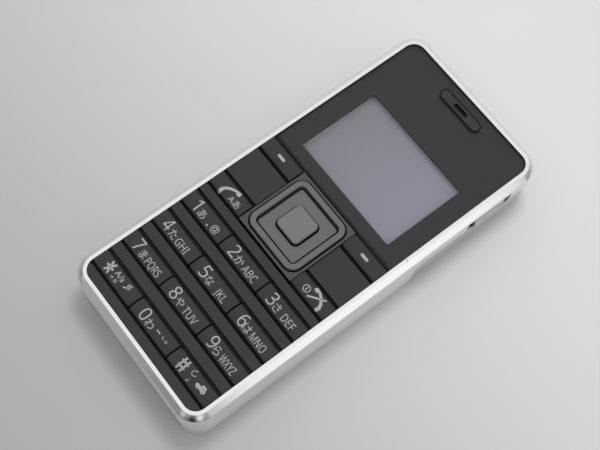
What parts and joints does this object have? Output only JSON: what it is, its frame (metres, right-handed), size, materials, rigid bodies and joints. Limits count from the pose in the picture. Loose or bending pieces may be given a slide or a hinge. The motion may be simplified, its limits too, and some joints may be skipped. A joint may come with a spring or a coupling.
{
  "type": "mobile phone",
  "caption": "Slim bar-style mobile phone with a metal side frame, ribbed number keypad, square navigation pad, small display and a sliding battery cover.",
  "frame": {"origin": "middle of the back face, which the phone lies on", "axes": "+Z out of the screen, +Y towards the earpiece end, +X to the right of the reader"},
  "size_m": [0.0433, 0.0944, 0.0147],
  "materials": {
    "frame_aluminium": "bead-blasted, with a bright cut chamfer",
    "panel_black": "fine satin black",
    "key_black": "satin black caps",
    "window_clear": "clear acrylic",
    "lcd_glass": "polariser over glass",
    "white_plastic": "white moulding",
    "pressed_steel": "plated sheet",
    "flex_film": "polyimide film",
    "moulded_dark": "dark moulding",
    "earpiece_black": "satin black",
    "mesh_black": "fine woven mesh",
    "foam_black": "soft foam",
    "pad_dark": "dark metallic paint",
    "pad_grey": "grey metallic paint",
    "silicone_grey": "translucent silicone",
    "clear_film": "thin polyester film",
    "board_green": "green solder mask",
    "contact_gold": "gold plated",
    "mic_can": "plain can",
    "cover_silver": "silver paint",
    "flap_rubber": "silver-grey elastomer"
  },
  "bodies": {
    "phone": {"side_frame": "frame_aluminium", "front_panel": "panel_black", "window_mask": "panel_black", "display_window": "window_clear", "lcd_panel": "lcd_glass", "lcd_backlight": "white_plastic", "sim_card": "white_plastic", "lcd_tray": "pressed_steel", "receiver": "pressed_steel", "metal_domes": "pressed_steel", "board_shields": "pressed_steel", "housing_screws": "pressed_steel", "vibration_motor": "pressed_steel", "charge_connector": "pressed_steel", "display_flex": "flex_film", "display_connector": "moulded_dark", "inner_chassis": "moulded_dark", "ringer_speaker": "moulded_dark", "side_switch": "moulded_dark", "battery": "moulded_dark", "earpiece_cover": "earpiece_black", "earpiece_mesh": "mesh_black", "lcd_gasket": "foam_black", "microphone_boot": "foam_black", "nav_surround": "pad_dark", "keypad_mat": "silicone_grey", "dome_film": "clear_film", "main_board": "board_green", "battery_contacts": "contact_gold", "antenna": "contact_gold", "microphone": "mic_can", "upper_rear_cover": "cover_silver"},
    "key_1": {"key_1": "key_black"},
    "key_2": {"key_2": "key_black"},
    "key_3": {"key_3": "key_black"},
    "key_4": {"key_4": "key_black"},
    "key_5": {"key_5": "key_black"},
    "key_6": {"key_6": "key_black"},
    "key_7": {"key_7": "key_black"},
    "key_8": {"key_8": "key_black"},
    "key_9": {"key_9": "key_black"},
    "key_star": {"key_star": "key_black"},
    "key_0": {"key_0": "key_black"},
    "key_hash": {"key_hash": "key_black"},
    "call_key": {"call_key": "key_black"},
    "end_key": {"end_key": "key_black"},
    "soft_key_left": {"soft_key_left": "key_black"},
    "soft_key_right": {"soft_key_right": "key_black"},
    "nav_centre_key": {"nav_centre_key": "pad_grey"},
    "nav_rocker": {"nav_rocker_pads": "silicone_grey"},
    "nav_ring": {"nav_ring": "pad_grey"},
    "side_key": {"side_key": "cover_silver"},
    "battery_cover": {"battery_cover": "cover_silver"},
    "port_cover": {"port_cover": "flap_rubber"},
    "vibration_weight": {"vibration_weight": "pressed_steel"}
  },
  "joints": [
    {"name": "key_1_press", "type": "slide", "parent": "phone", "child": "key_1", "axis": [0, 0, -1], "range_m": [0, 0.0004], "stiffness_N_per_m": 1000},
    {"name": "key_2_press", "type": "slide", "parent": "phone", "child": "key_2", "axis": [0, 0, -1], "range_m": [0, 0.0004], "stiffness_N_per_m": 1000},
    {"name": "key_3_press", "type": "slide", "parent": "phone", "child": "key_3", "axis": [0, 0, -1], "range_m": [0, 0.0004], "stiffness_N_per_m": 1000},
    {"name": "key_4_press", "type": "slide", "parent": "phone", "child": "key_4", "axis": [0, 0, -1], "range_m": [0, 0.0004], "stiffness_N_per_m": 1000},
    {"name": "key_5_press", "type": "slide", "parent": "phone", "child": "key_5", "axis": [0, 0, -1], "range_m": [0, 0.0004], "stiffness_N_per_m": 1000},
    {"name": "key_6_press", "type": "slide", "parent": "phone", "child": "key_6", "axis": [0, 0, -1], "range_m": [0, 0.0004], "stiffness_N_per_m": 1000},
    {"name": "key_7_press", "type": "slide", "parent": "phone", "child": "key_7", "axis": [0, 0, -1], "range_m": [0, 0.0004], "stiffness_N_per_m": 1000},
    {"name": "key_8_press", "type": "slide", "parent": "phone", "child": "key_8", "axis": [0, 0, -1], "range_m": [0, 0.0004], "stiffness_N_per_m": 1000},
    {"name": "key_9_press", "type": "slide", "parent": "phone", "child": "key_9", "axis": [0, 0, -1], "range_m": [0, 0.0004], "stiffness_N_per_m": 1000},
    {"name": "key_star_press", "type": "slide", "parent": "phone", "child": "key_star", "axis": [0, 0, -1], "range_m": [0, 0.0004], "stiffness_N_per_m": 1000},
    {"name": "key_0_press", "type": "slide", "parent": "phone", "child": "key_0", "axis": [0, 0, -1], "range_m": [0, 0.0004], "stiffness_N_per_m": 1000},
    {"name": "key_hash_press", "type": "slide", "parent": "phone", "child": "key_hash", "axis": [0, 0, -1], "range_m": [0, 0.0004], "stiffness_N_per_m": 1000},
    {"name": "call_key_press", "type": "slide", "parent": "phone", "child": "call_key", "axis": [0, 0, -1], "range_m": [0, 0.0004], "stiffness_N_per_m": 1000},
    {"name": "end_key_press", "type": "slide", "parent": "phone", "child": "end_key", "axis": [0, 0, -1], "range_m": [0, 0.0004], "stiffness_N_per_m": 1000},
    {"name": "soft_key_left_press", "type": "slide", "parent": "phone", "child": "soft_key_left", "axis": [0, 0, -1], "range_m": [0, 0.0004], "stiffness_N_per_m": 1000},
    {"name": "soft_key_right_press", "type": "slide", "parent": "phone", "child": "soft_key_right", "axis": [0, 0, -1], "range_m": [0, 0.0004], "stiffness_N_per_m": 1000},
    {"name": "nav_centre_key_press", "type": "slide", "parent": "phone", "child": "nav_centre_key", "axis": [0, 0, -1], "range_m": [0, 0.0004], "stiffness_N_per_m": 1000},
    {"name": "nav_tilt_up_down", "type": "hinge", "parent": "phone", "child": "nav_rocker", "pos_m": [0, -0.00405, 0.01265], "axis": [1, 0, 0], "range_deg": [-2, 2], "stiffness_Nm_per_rad": 0.16},
    {"name": "nav_tilt_left_right", "type": "hinge", "parent": "nav_rocker", "child": "nav_ring", "pos_m": [0, -0.00405, 0.01265], "axis": [0, 1, 0], "range_deg": [-2, 2], "stiffness_Nm_per_rad": 0.16},
    {"name": "side_key_press", "type": "slide", "parent": "phone", "child": "side_key", "axis": [-1, 0, 0], "range_m": [0, 0.0003], "stiffness_N_per_m": 1500},
    {"name": "battery_cover_slide", "type": "slide", "parent": "phone", "child": "battery_cover", "axis": [0, -1, 0], "range_m": [0, 0.06]},
    {"name": "port_cover_swing", "type": "hinge", "parent": "phone", "child": "port_cover", "pos_m": [-0.02125, 0.02635, 0.0058], "axis": [0, 0, 1], "range_deg": [0, 100]},
    {"name": "vibration_weight_spin", "type": "hinge", "parent": "phone", "child": "vibration_weight", "pos_m": [0.0139, 0.0358, 0.0036], "axis": [1, 0, 0], "continuous": true}
  ]
}
